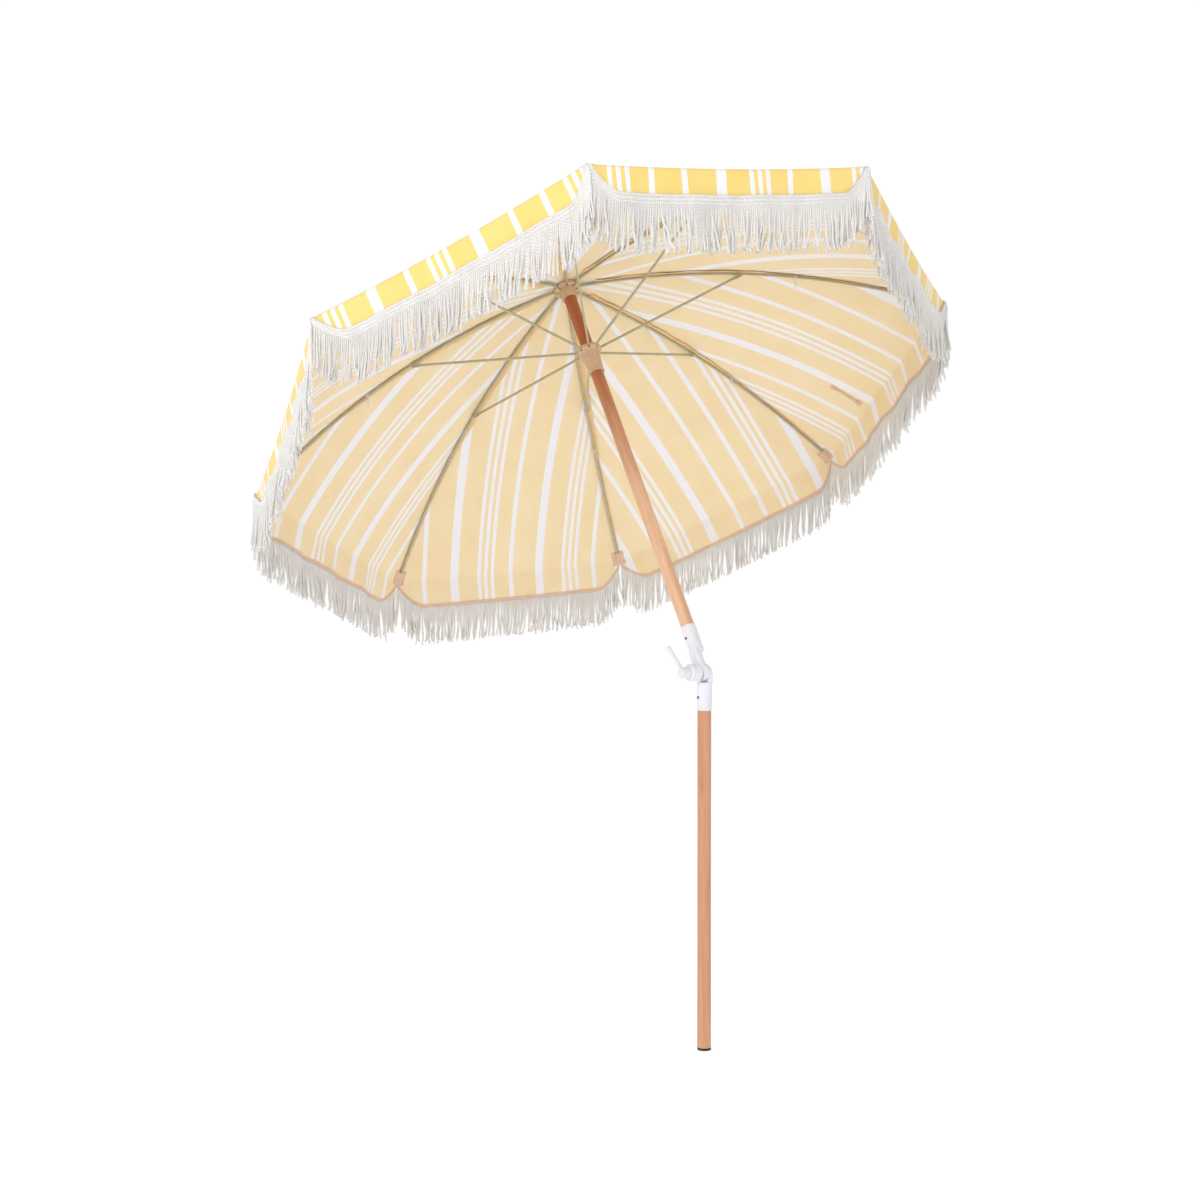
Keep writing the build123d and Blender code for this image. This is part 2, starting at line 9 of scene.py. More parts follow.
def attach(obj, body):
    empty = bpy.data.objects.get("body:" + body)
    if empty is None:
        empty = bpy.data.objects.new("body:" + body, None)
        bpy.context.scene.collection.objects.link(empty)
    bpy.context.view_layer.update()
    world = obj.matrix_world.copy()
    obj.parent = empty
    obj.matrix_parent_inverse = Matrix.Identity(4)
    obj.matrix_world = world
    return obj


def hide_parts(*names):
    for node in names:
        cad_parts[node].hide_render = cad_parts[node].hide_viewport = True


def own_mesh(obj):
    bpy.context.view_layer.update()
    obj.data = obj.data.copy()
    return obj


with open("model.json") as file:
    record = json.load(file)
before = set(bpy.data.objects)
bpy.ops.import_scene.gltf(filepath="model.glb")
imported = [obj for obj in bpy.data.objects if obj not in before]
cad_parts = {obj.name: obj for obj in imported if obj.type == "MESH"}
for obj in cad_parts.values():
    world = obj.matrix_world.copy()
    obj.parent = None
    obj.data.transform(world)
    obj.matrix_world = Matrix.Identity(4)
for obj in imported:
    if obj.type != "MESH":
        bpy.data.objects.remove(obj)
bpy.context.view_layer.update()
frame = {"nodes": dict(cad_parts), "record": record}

# ---- the frame: pole, hub and ribs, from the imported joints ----
joints = {j["name"]: j for j in frame["record"]["behaviour"]["joints"]}
RIBS = range(1, 9)
RIB_JOINT = {i: "canopy_fold" if i == 1 else f"rib_{i}_hinge" for i in RIBS}


def place(joint):
    return np.array(joints[joint]["pos_m"], float)


def unit(v):
    v = np.asarray(v, float)
    return v / np.linalg.norm(v)


tilt_hinge = place("tilt_hinge")
hub = sum(place(RIB_JOINT[i]) for i in RIBS) / len(RIBS)
pole = unit(hub - tilt_hinge)
across_rib = {i: unit(joints[RIB_JOINT[i]]["axis"]) for i in RIBS}
outward = {i: np.cross(across_rib[i], pole) for i in RIBS}
PLUMB = np.array((0.0, 0.0, -1.0))


def flat_of(point):
    """(distance from the pole's axis, height over the rib pivots) of a point on rib 1."""
    v = point - hub
    return v @ outward[1], v @ pole


PIVOT_R = flat_of(place(RIB_JOINT[1]))[0]
STRUT_R, STRUT_Y = flat_of(place("strut_1_hinge"))
TIP_R, TIP_Y = flat_of(place("valance_1_hinge"))
RUNNER_Y = flat_of(place("runner_hinge"))[1]


def circle_through(a, b, c):
    """Centre and radius of the rib's bow."""
    m = 2 * np.array((np.subtract(b, a), np.subtract(c, a)))
    k = np.array((np.dot(b, b) - np.dot(a, a), np.dot(c, c) - np.dot(a, a)))
    centre = np.linalg.solve(m, k)
    return centre, np.linalg.norm(centre - a)


bow_centre, bow_r = circle_through((PIVOT_R, 0.0), (STRUT_R, STRUT_Y), (TIP_R, TIP_Y))


def rib_height(r):
    return bow_centre[1] + np.sqrt(bow_r**2 - (r - bow_centre[0]) ** 2)


def rib_slope(r):
    """How steeply the rib falls, in radians."""
    return np.arcsin((r - bow_centre[0]) / bow_r)


# ---- the cloth's own sizes, in metres ----
CLOTH_OVER_RIB = 0.0048  # from the rib's centre line to the cloth's outer face, less the rise at the hub
CLOTH_T = 0.0009
CLOTH_INNER_R = 0.0305
LEVEL_R, LEVEL_Y = 0.036, 0.0066  # the cloth lies level on the hub to here
SETTLED_R = 0.084
GORE_SAG = 0.011  # each gore lies this much under the straight line from rib to rib
HEM_SAG = 0.008  # and its edge this much
FLAP = 0.063  # depth of the flap that shows over the fringe's heading
FOLD_ARC = 0.016
CORNER = 0.070  # the flap reaches its full depth this far from a rib's tip
HEADER = 0.021  # the fringe's woven heading
FRINGE = 0.121  # heading and cords
CORD_PITCH = 0.0045
CORD_TWIST = 0.014  # one full turn of a cord's strands
CHAIN_ROWS = (0.019, 0.0105, 0.003)  # heights of the heading's chained rows over its lower edge
HALF_STEP = math.pi / len(RIBS)

# One repeat of the striped cloth: (middle, width) of each white stripe.
REPEAT = 0.590
WARP_PITCH, WEFT_PITCH = 0.0011, 0.0013
TRIPLE = (-0.020, 0.0, 0.020)
STRIPES = [(t, 0.0105) for t in TRIPLE] + [(0.095, 0.024), (0.182, 0.013)]
STRIPES += [(0.257 + t, 0.0105) for t in TRIPLE] + [(0.350, 0.024), (0.438, 0.013), (0.514, 0.013)]

# How each gore was cut: the repeat's place at its middle, and which way round.
# Gore i runs from rib i to rib i + 1.
GORE_CUT = {1: (0.405, -1), 2: (0.177, 1), 3: (0.205, 1), 4: (0.575, -1)}
GORE_CUT.update({5: (0.287, 1), 6: (0.321, -1), 7: (0.200, -1), 8: (0.028, 1)})


def next_rib(i, side):
    return (i - 1 + side) % len(RIBS) + 1


def gore_of(i, side):
    return i if side > 0 else next_rib(i, -1)


def cloth_height(r):
    lift = (CLOTH_OVER_RIB + 0.0015) / np.cos(rib_slope(r))
    on_rib = rib_height(r) + lift
    share = np.clip((r - LEVEL_R) / (SETTLED_R - LEVEL_R), 0, 1)
    share = share * share * (3 - 2 * share)
    return LEVEL_Y + (on_rib - LEVEL_Y) * share


def gore_point(i, side, u, r):
    """A point of the canopy: u is 0 over rib i and 1 at the middle of the gore on that side."""
    j = next_rib(i, side)
    straight = (outward[i] * (1 - u / 2) + outward[j] * (u / 2)) * r
    slope = rib_slope(max(r, PIVOT_R))
    middle_out = unit(outward[i] + outward[j])
    normal = pole * math.cos(slope) + middle_out * math.sin(slope)
    run = (r - CLOTH_INNER_R) / (TIP_R - CLOTH_INNER_R)
    across = 4 * (u / 2) * (1 - u / 2)
    dip = across * (GORE_SAG * math.sin(math.pi * min(run, 1.0) ** 0.75) + HEM_SAG * run**4)
    pucker = 0.0006 * math.sin(r * 210 + 5 * i + side) * math.exp(-u * 9)
    return hub + straight + pole * cloth_height(r) - normal * (dip + pucker)


def cut_place(i, side, u, r):
    """The cloth's own coordinates: across the stripes, and along them."""
    start, way = GORE_CUT[gore_of(i, side)]
    from_middle = -side * (1 - u) * r * math.sin(HALF_STEP)
    return start + way * from_middle, r


# ---- mesh and node helpers ----
def piece(name, verts, faces, materials, body, face_material=None, smooth=True):
    mesh = bpy.data.meshes.new(name)
    mesh.from_pydata([tuple(v) for v in verts], [], faces)
    for m in materials:
        mesh.materials.append(m)
    if face_material is not None:
        mesh.polygons.foreach_set("material_index", face_material)
    mesh.polygons.foreach_set("use_smooth", [smooth] * len(mesh.polygons))
    mesh.update()
    obj = bpy.data.objects.new(name, mesh)
    bpy.context.scene.collection.objects.link(obj)
    if body:
        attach(obj, body)
    return obj


def grid_normals(grid):
    down = np.gradient(grid, axis=0)
    along = np.gradient(grid, axis=1)
    n = np.cross(along, down)
    length = np.linalg.norm(n, axis=2, keepdims=True)
    return n / np.maximum(length, 1e-12)


def mitred(normal, across):
    """The normal shared by two pieces that meet on a plane square to across."""
    return unit(normal - across * (normal @ across))


def fold_normal(i, side, u):
    """The way out through the cloth at the fold, the same for the canopy and its flap."""
    along = unit(outward[next_rib(i, side)] - outward[i])
    out = gore_point(i, side, u, TIP_R) - gore_point(i, side, u, TIP_R - 0.01)
    normal = np.cross(out, along) * side
    normal = unit(normal if normal @ pole > 0 else -normal)
    return mitred(normal, across_rib[i] if u == 0 else along)


def cloth_piece(name, grid, thickness, materials, body, coords=None, split=None, flip=False, fix=None):
    """A closed sheet over a grid of points.

    coords gives each corner's place on the cloth, left and right of split.
    """
    rows, cols = grid.shape[:2]
    normal = grid_normals(grid)
    if flip:
        normal = -normal
    if fix:
        fix(normal)
    verts = np.concatenate((grid.reshape(-1, 3), (grid - normal * thickness).reshape(-1, 3)))
    under = rows * cols
    faces, which, corner = [], [], []

    def add(quad, material, col):
        if flip:
            quad = quad[::-1]
        faces.append(list(quad))
        which.append(material)
        if coords is not None:
            side = coords[0] if col < split else coords[1]
            corner.extend(side[(v % under) // cols, v % cols] for v in quad)

    for r in range(rows - 1):
        for c in range(cols - 1):
            a, b = r * cols + c, r * cols + c + 1
            d, e = a + cols, b + cols
            add((a, d, e, b), 0, c)
            add((a + under, b + under, e + under, d + under), 1, c)
    for r in range(rows - 1):
        for c, turn in ((0, 1), (cols - 1, -1)):
            a, d = r * cols + c, (r + 1) * cols + c
            quad = (a, a + under, d + under, d)[::turn]
            add(quad, 0, min(c, cols - 2))
    for c in range(cols - 1):
        for r, turn in ((0, -1), (rows - 1, 1)):
            a, b = r * cols + c, r * cols + c + 1
            quad = (a, a + under, b + under, b)[::turn]
            add(quad, 0, c)
    obj = piece(name, verts, faces, materials, body, which)
    # The rim's edges are sharp, so that neighbouring sheets shade as one surface.
    first_rim_face = 2 * (rows - 1) * (cols - 1)
    rim = {
        tuple(sorted(pair))
        for face in faces[first_rim_face:]
        for pair in zip(face, face[1:] + face[:1])
    }
    sharp = [tuple(sorted(edge.vertices)) in rim for edge in obj.data.edges]
    obj.data.attributes.new("sharp_edge", "BOOLEAN", "EDGE").data.foreach_set("value", sharp)
    if coords is not None:
        data = obj.data.attributes.new("cloth", "FLOAT_VECTOR", "CORNER")
        flat = np.zeros((len(corner), 3))
        flat[:, :2] = np.array(corner)
        data.data.foreach_set("vector", flat.ravel())
    return obj


class Nodes:
    """A short way to write a node tree."""

    def __init__(self, name, colour=(0.8, 0.8, 0.8), roughness=0.5, metallic=0.0):
        self.material = bpy.data.materials.new(name)
        self.material.use_nodes = True
        self.tree = self.material.node_tree
        self.shader = self.tree.nodes["Principled BSDF"]
        self.shader.inputs["Base Color"].default_value = (*colour, 1)
        self.shader.inputs["Roughness"].default_value = roughness
        self.shader.inputs["Metallic"].default_value = metallic

    def add(self, kind, inputs=None, **settings):
        node = self.tree.nodes.new("ShaderNode" + kind)
        for key, value in settings.items():
            setattr(node, key, value)
        for key, value in (inputs or {}).items():
            self.put(node.inputs[key], value)
        return node

    def put(self, socket, value):
        if isinstance(value, bpy.types.NodeSocket):
            self.tree.links.new(value, socket)
        else:
            socket.default_value = value

    def math(self, operation, a, b=0.0, c=0.0):
        node = self.add("Math", operation=operation)
        for socket, value in zip(node.inputs, (a, b, c)):
            self.put(socket, value)
        return node.outputs[0]

    def mix(self, share, a, b, blend="MIX"):
        node = self.add("Mix", data_type="RGBA", blend_type=blend)
        self.put(node.inputs[0], share)
        self.put(node.inputs[6], (*a, 1) if isinstance(a, tuple) and len(a) == 3 else a)
        self.put(node.inputs[7], (*b, 1) if isinstance(b, tuple) and len(b) == 3 else b)
        return node.outputs[2]

    def noise(self, vector, scale, detail=3.0, roughness=0.5, distortion=0.0):
        inputs = {"Vector": vector, "Scale": scale, "Detail": detail, "Roughness": roughness}
        inputs["Distortion"] = distortion
        return self.add("TexNoise", inputs).outputs["Fac"]

    def spread(self, value, low, high, to_low, to_high):
        inputs = {0: value, 1: low, 2: high, 3: to_low, 4: to_high}
        return self.add("MapRange", inputs).outputs[0]

    def bump(self, height, strength, distance=0.001, normal=None):
        inputs = {"Height": height, "Strength": strength, "Distance": distance}
        if normal is not None:
            inputs["Normal"] = normal
        return self.add("Bump", inputs).outputs[0]

    def object_place(self):
        return self.add("TexCoord").outputs["Object"]

    def set(self, **sockets):
        for name, value in sockets.items():
            self.put(self.shader.inputs[name.replace("_", " ")], value)
        return self.material


def srgb(r, g, b):
    """Linear colour from 0-255 display values."""
    return tuple(((c / 255 + 0.055) / 1.055) ** 2.4 if c > 10 else c / 255 / 12.92 for c in (r, g, b))


# ---- materials ----
def striped_cloth(name, ground, stripe, tint, sheen=0.25):
    """Woven cotton canvas, striped along its length, with its weave, slubs and soft creases."""
    n = Nodes(name, roughness=0.86)
    place_on_cloth = n.add("Attribute", attribute_type="GEOMETRY", attribute_name="cloth").outputs["Vector"]
    split = n.add("SeparateXYZ", {0: place_on_cloth})
    x, y = split.outputs[0], split.outputs[1]
    wobble = n.spread(n.noise(place_on_cloth, 160.0, 2.0), 0.3, 0.7, -0.00015, 0.00015)
    in_repeat = n.math("WRAP", n.math("ADD", x, wobble), REPEAT - 0.05, -0.05)
    white = 0.0
    for middle, width in STRIPES:
        off = n.math("ABSOLUTE", n.math("SUBTRACT", in_repeat, middle))
        inside = n.spread(off, width / 2 - 0.0006, width / 2 + 0.0006, 1.0, 0.0)
        white = n.math("MAXIMUM", white, inside)
    cloth_noise = n.noise(place_on_cloth, 9.0, 4.0, 0.6)
    slub_place = n.add("Mapping", {"Vector": place_on_cloth, "Scale": (1800.0, 40.0, 1.0)}).outputs[0]
    slubs = n.noise(slub_place, 1.0, 2.0)
    weft_place = n.add("Mapping", {"Vector": place_on_cloth, "Scale": (45.0, 1700.0, 1.0)}).outputs[0]
    weft = n.noise(weft_place, 1.0, 2.0)
    yarn = n.math("MULTIPLY", n.math("ADD", slubs, weft), 0.5)
    yellow = n.mix(n.spread(cloth_noise, 0.3, 0.7, 0.0, 1.0), ground, tint)
    colour = n.mix(white, yellow, stripe)
    shade = n.spread(yarn, 0.3, 0.7, 0.94, 1.03)
    grey = n.add("CombineColor", {0: shade, 1: shade, 2: shade}).outputs[0]
    colour = n.mix(1.0, colour, grey, "MULTIPLY")
    warp = n.math("SINE", n.math("MULTIPLY", x, 2 * math.pi / WARP_PITCH))
    fill = n.math("SINE", n.math("MULTIPLY", y, 2 * math.pi / WEFT_PITCH))
    weave = n.math("ADD", n.math("MULTIPLY", warp, fill), yarn)
    creases = n.noise(place_on_cloth, 22.0, 3.0, 0.45, 0.6)
    soft = n.bump(creases, 0.35, 0.004)
    normal = n.bump(weave, 0.25, 0.0003, soft)
    n.set(Sheen_Weight=sheen, Sheen_Roughness=0.5, Specular_IOR_Level=0.25)
    return n.set(Base_Color=colour, Normal=normal)


def plain_cloth(name, colour, tint, scale=900.0, roughness=0.85):
    """Narrow woven tape."""
    n = Nodes(name, roughness=roughness)
    at = n.object_place()
    patches = n.noise(at, 60.0, 3.0)
    base = n.mix(n.spread(patches, 0.3, 0.7, 0.0, 1.0), colour, tint)
    ribs = n.add("TexWave", {"Vector": at, "Scale": scale, "Distortion": 2.0}, bands_direction="DIAGONAL")
    normal = n.bump(ribs.outputs["Fac"], 0.3, 0.0004, n.bump(patches, 0.2, 0.001))
    n.set(Sheen_Weight=0.3, Specular_IOR_Level=0.25)
    return n.set(Base_Color=base, Normal=normal)


def cord_cotton(name, light, dark):
    """Soft twisted cotton."""
    n = Nodes(name, roughness=0.92)
    at = n.object_place()
    fibres = n.noise(at, 700.0, 3.0, 0.65)
    tufts = n.noise(at, 35.0, 2.0)
    base = n.mix(n.spread(tufts, 0.3, 0.7, 0.0, 1.0), light, dark)
    groove_shade = n.add("Attribute", attribute_type="GEOMETRY", attribute_name="groove_shade").outputs["Fac"]
    # The cord's narrow sides, where its strands meet, are darkened by up to 13 percent: painted shade in the
    # twist's groove.
    shade = n.math("MULTIPLY", n.spread(fibres, 0.3, 0.7, 0.88, 1.04), n.spread(groove_shade, 0.3, 0.87, 1.0, 0.87))
    grey = n.add("CombineColor", {0: shade, 1: shade, 2: shade}).outputs[0]
    n.set(Sheen_Weight=0.5, Sheen_Roughness=0.4, Specular_IOR_Level=0.15)
    return n.set(Base_Color=n.mix(1.0, base, grey, "MULTIPLY"), Normal=n.bump(fibres, 0.5, 0.0006))


def wood(name, light, dark, turn=(0.0, 0.0, 0.0), scale=1.0, roughness=0.42, top=None):
    """Straight-grained varnished hardwood, its grain along the turned Z axis."""
    n = Nodes(name, roughness=roughness)
    at = n.add("Mapping", {"Vector": n.object_place(), "Rotation": turn}).outputs[0]
    stretch = n.add("Mapping", {"Vector": at, "Scale": (scale, scale, scale * 0.045)}).outputs[0]
    figure = n.noise(stretch, 95.0, 5.0, 0.6, 0.8)
    fine = n.noise(stretch, 900.0, 3.0, 0.7)
    pores = n.add("TexVoronoi", {"Vector": stretch, "Scale": 1100.0}).outputs["Distance"]
    share = n.spread(figure, 0.3, 0.7, 0.0, 1.0)
    base = n.mix(share, light, dark)
    shade = n.spread(fine, 0.25, 0.75, 0.9, 1.06)
    flecks = n.spread(pores, 0.05, 0.25, 0.86, 1.0)
    grey = n.math("MULTIPLY", shade, flecks)
    base = n.mix(1.0, base, n.add("CombineColor", {0: grey, 1: grey, 2: grey}).outputs[0], "MULTIPLY")
    # With top, the colour is multiplied darker and warmer up the height: painted shade and painted warm
    # reflection, not a stain in the wood.
    if top is not None:
        height = n.add("SeparateXYZ", {0: at}).outputs[2]
        low, high, shade_tint = top
        base = n.mix(n.spread(height, low, high, 0.0, 1.0), base, shade_tint, "MULTIPLY")
    rough = n.spread(figure, 0.2, 0.8, roughness - 0.07, roughness + 0.1)
    normal = n.bump(n.math("ADD", fine, n.math("MULTIPLY", pores, 0.5)), 0.22, 0.0004)
    n.set(Coat_Weight=0.25, Coat_Roughness=0.25)
    return n.set(Base_Color=base, Roughness=rough, Normal=normal)


def painted(name, colour, dull, roughness=0.38, grain=900.0, strength=0.18):
    """Powder coat or moulded plastic: a fine orange peel and faint handling marks."""
    n = Nodes(name, roughness=roughness)
    at = n.object_place()
    peel = n.noise(at, grain, 2.0)
    marks = n.noise(at, 40.0, 4.0, 0.6)
    base = n.mix(n.spread(marks, 0.45, 0.75, 0.0, 1.0), colour, dull)
    rough = n.spread(marks, 0.3, 0.7, roughness - 0.06, roughness + 0.1)
    return n.set(Base_Color=base, Roughness=rough, Normal=n.bump(peel, strength, 0.0004))


def bright_metal(name, colour, roughness=0.28):
    n = Nodes(name, roughness=roughness, metallic=1.0)
    at = n.object_place()
    brushed = n.noise(n.add("Mapping", {"Vector": at, "Scale": (1.0, 1.0, 12.0)}).outputs[0], 500.0, 3.0)
    base = n.mix(n.spread(n.noise(at, 90.0), 0.3, 0.7, 0.0, 1.0), colour, tuple(c * 0.8 for c in colour))
    rough = n.spread(brushed, 0.3, 0.7, roughness - 0.08, roughness + 0.12)
    return n.set(Base_Color=base, Roughness=rough, Normal=n.bump(brushed, 0.08, 0.0002))


lean = math.atan2(pole[1], pole[2])
LEVEL_TURN = (lean, 0.0, 0.0)
outside = striped_cloth("canopy_outside", srgb(245, 211, 120), srgb(240, 239, 242), srgb(246, 217, 136))
inside = striped_cloth("canopy_inside", srgb(241, 222, 184), srgb(238, 237, 243), srgb(238, 215, 172))
tape = plain_cloth("hem_tape", srgb(224, 192, 168), srgb(212, 178, 152))
seam_cloth = plain_cloth("seam_flap", srgb(238, 202, 146), srgb(228, 188, 126))
tie_cloth = plain_cloth("rib_tie", srgb(236, 232, 222), srgb(212, 204, 186))
fringe_cotton = cord_cotton("fringe_cotton", srgb(251, 249, 247), srgb(245, 241, 237))
pole_wood = wood("lower_pole_wood", srgb(210, 152, 118), srgb(190, 128, 94))
RUNNER_AT = hub @ pole + RUNNER_Y
# Darker and warmer from 0.42 m below the runner upwards: painted shade and painted yellow reflection from the
# canopy overhead.
painted_shade_top = (RUNNER_AT - 0.42, RUNNER_AT - 0.02, (0.60, 0.26, 0.12))
upper_wood = wood("upper_pole_wood", srgb(230, 190, 156), srgb(206, 156, 118), LEVEL_TURN, top=painted_shade_top)
hub_wood = wood("hub_wood", srgb(218, 190, 158), srgb(196, 164, 130), LEVEL_TURN, 1.6, 0.5)
white_coat = painted("white_powder_coat", srgb(224, 224, 231), srgb(216, 216, 223))
rib_coat = painted("rib_coat", srgb(182, 174, 146), srgb(166, 158, 128), 0.45, 500.0)
zinc = bright_metal("zinc_steel", (0.72, 0.72, 0.74))
dark_steel = bright_metal("dark_steel", (0.2, 0.19, 0.18), 0.4)
rubber = painted("foot_rubber", srgb(58, 46, 40), srgb(44, 36, 32), 0.8, 350.0, 0.35)

NODE_MATERIAL = {
    "lower_pole": pole_wood,
    "upper_pole": upper_wood,
    "foot_cap": rubber,
    "lower_tilt_sleeve": white_coat,
    "upper_tilt_sleeve": white_coat,
    "tilt_pivot_bolt": white_coat,
    "tilt_clamp_drum": white_coat,
    "tilt_lever": white_coat,
    "lower_sleeve_screws": dark_steel,
    "upper_sleeve_screws": dark_steel,
    "top_hub": hub_wood,
    "runner": hub_wood,
    "top_cap": hub_wood,
    "hub_wire_ring": dark_steel,
    "runner_wire_ring": dark_steel,
    "runner_button": zinc,
}
for i in RIBS:
    NODE_MATERIAL[f"rib_{i}"] = rib_coat
    NODE_MATERIAL[f"strut_{i}"] = rib_coat
    NODE_MATERIAL[f"strut_rivet_{i}"] = zinc
for node, material in NODE_MATERIAL.items():
    mesh = frame["nodes"][node].data
    mesh.materials.clear()
    mesh.materials.append(material)


# ---- camera, light and floor ----
def stage():
    camera = bpy.data.objects.new("camera", bpy.data.cameras.new("camera"))
    camera.location = (-2.508, -3.397, 1.081)
    camera.rotation_euler = (math.radians(89.31), 0.0, math.radians(-33.2))
    camera.data.lens = 55.35
    camera.data.clip_end = 200.0
    bpy.context.scene.collection.objects.link(camera)
    bpy.context.scene.camera = camera

    def area(name, at, towards, size, power):
        light = bpy.data.objects.new(name, bpy.data.lights.new(name, "AREA"))
        light.data.size = size
        light.data.energy = power
        away = unit(np.subtract(at, towards))
        side = unit(np.cross((0.0, 0.0, 1.0), away))
        up = np.cross(away, side)
        turn = Matrix([[side[k], up[k], away[k]] for k in range(3)]).to_4x4()
        light.matrix_world = Matrix.Translation(at) @ turn
        bpy.context.scene.collection.objects.link(light)

    middle = (0.0, 0.3, 1.4)
    area("key", (-4.5, -2.5, 4.0), middle, 2.4, 92.0)
    area("fill", (1.5, -5.0, 1.6), middle, 4.0, 16.0)
    area("back", (2.5, 4.5, 4.0), middle, 3.0, 25.0)
    world = bpy.data.worlds.new("studio")
    world.use_nodes = True
    world.node_tree.nodes["Background"].inputs["Color"].default_value = (1, 1, 1, 1)
    tree = world.node_tree
    way = tree.nodes.new("ShaderNodeTexCoord").outputs["Generated"]
    strength = None
    # The light's strength fades overhead and on the right: a direction, then the map's four limits.
    overhead = ((0.0, 0.0, 1.0), (0.3, 0.9, 1.02, 0.56))
    right_side = ((0.84, -0.55, 0.0), (0.38, 1.0, 1.0, 0.6))
    for towards, limits in (overhead, right_side):
        dot = tree.nodes.new("ShaderNodeVectorMath")
        dot.operation = "DOT_PRODUCT"
        tree.links.new(way, dot.inputs[0])
        dot.inputs[1].default_value = towards
        fade = tree.nodes.new("ShaderNodeMapRange")
        for socket, value in zip(fade.inputs[1:5], limits):
            socket.default_value = value
        tree.links.new(dot.outputs["Value"], fade.inputs[0])
        both = tree.nodes.new("ShaderNodeMath")
        both.operation = "MULTIPLY"
        both.inputs[0].default_value = 1.0
        if strength is not None:
            tree.links.new(strength, both.inputs[0])
        tree.links.new(fade.outputs[0], both.inputs[1])
        strength = both.outputs[0]
    tree.links.new(strength, tree.nodes["Background"].inputs["Strength"])
    bpy.context.scene.world = world
    bpy.context.scene.view_settings.view_transform = "Standard"
    n = Nodes("floor", srgb(245, 245, 244), 0.9)
    speck = n.noise(n.object_place(), 3.0)
    n.set(Base_Color=n.mix(n.spread(speck, 0.3, 0.7, 0.0, 1.0), srgb(246, 246, 245), srgb(243, 243, 242)))
    n.set(Emission_Color=(1, 1, 1, 1), Emission_Strength=0.38)
    floor_r = 40
    angles = np.linspace(0, 2 * math.pi, 65)[:-1]
    ring = [(floor_r * math.cos(a), floor_r * math.sin(a), 0.0) for a in angles]
    piece("floor", ring, [list(range(64))], [n.material], None)


stage()

# ---- canopy: eight panels of one continuous cloth, each gathered over its rib ----
ROWS, HALF_COLS = 56, 14


def canopy_panel(i):
    radii = CLOTH_INNER_R + (TIP_R - CLOTH_INNER_R) * np.linspace(0, 1, ROWS)
    left = [(-1, u) for u in np.linspace(1, 0, HALF_COLS + 1)[:-1]]
    right = [(1, u) for u in np.linspace(0, 1, HALF_COLS + 1)]
    shares = left + right
    grid = np.array([[gore_point(i, side, u, r) for side, u in shares] for r in radii])
    coords = []
    for side in (-1, 1):
        at = [[cut_place(i, side, u if s == side else 0.0, r) for s, u in shares] for r in radii]
        coords.append(np.array(at))

    def fix(normal):
        for col, side in ((0, -1), (-1, 1)):
            along = unit(outward[next_rib(i, side)] - outward[i])
            normal[:, col] = [mitred(n, along) for n in normal[:, col]]
        normal[-1] = [fold_normal(i, side, u) for side, u in shares]

    name = f"canopy_cloth_{i}"
    obj = cloth_piece(name, grid, CLOTH_T, [outside, inside], f"rib_{i}", coords, HALF_COLS, True, fix)
    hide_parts(f"canopy_panel_{i}")
    return obj


panels = {i: canopy_panel(i) for i in RIBS}

# ---- seam flaps, ties and pockets along each rib, on the cloth's inner side ----
SEAM_W, SEAM_T = 0.011, 0.0008
RIB_HALF_W, RIB_HALF_H = 0.0025, 0.003
TIE_SHARE = 0.562 / 0.882  # the tie's place along the rib's reach
TIE_R = TIE_SHARE * TIP_R
POCKET_IN, POCKET_W, POCKET_RISE = 0.016, 0.038, 0.0085


def rib_frame(i, r):
    """The rib's centre, its direction, and the way out through the cloth, at this distance from the pole."""
    slope = float(rib_slope(r))
    centre = hub + outward[i] * r + pole * float(rib_height(r))
    ahead = outward[i] * math.cos(slope) - pole * math.sin(slope)
    up = outward[i] * math.sin(slope) + pole * math.cos(slope)
    return centre, ahead, up


def seam_flap(i):
    """The gores' seam allowance, felled to one side and loose along its edge."""
    rows = []
    for k, r in enumerate(np.linspace(0.075, TIP_R - POCKET_IN, 70)):
        centre, ahead, up = rib_frame(i, r)
        edge = 0.0014 * math.sin(k * 0.9 + i) + 0.0008 * math.sin(k * 2.3)
        narrow = min(max((r - 0.42) / 0.2, 0), 1)
        edge = edge * (1 - narrow) - narrow * (SEAM_W - 0.0035)
        row = []
        for share in np.linspace(0, 1, 5):
            w = RIB_HALF_W + 0.0004 + share * (SEAM_W + edge)
            drop = 0.0026 - 0.0062 * share * (1 - 0.25 * math.sin(k * 0.5 + 2 * i))
            row.append(centre + across_rib[i] * -w + up * (drop * 0.6 + 0.0006))
        rows.append(row)
    return cloth_piece(f"seam_flap_{i}", np.array(rows), SEAM_T, [seam_cloth, seam_cloth], f"rib_{i}")


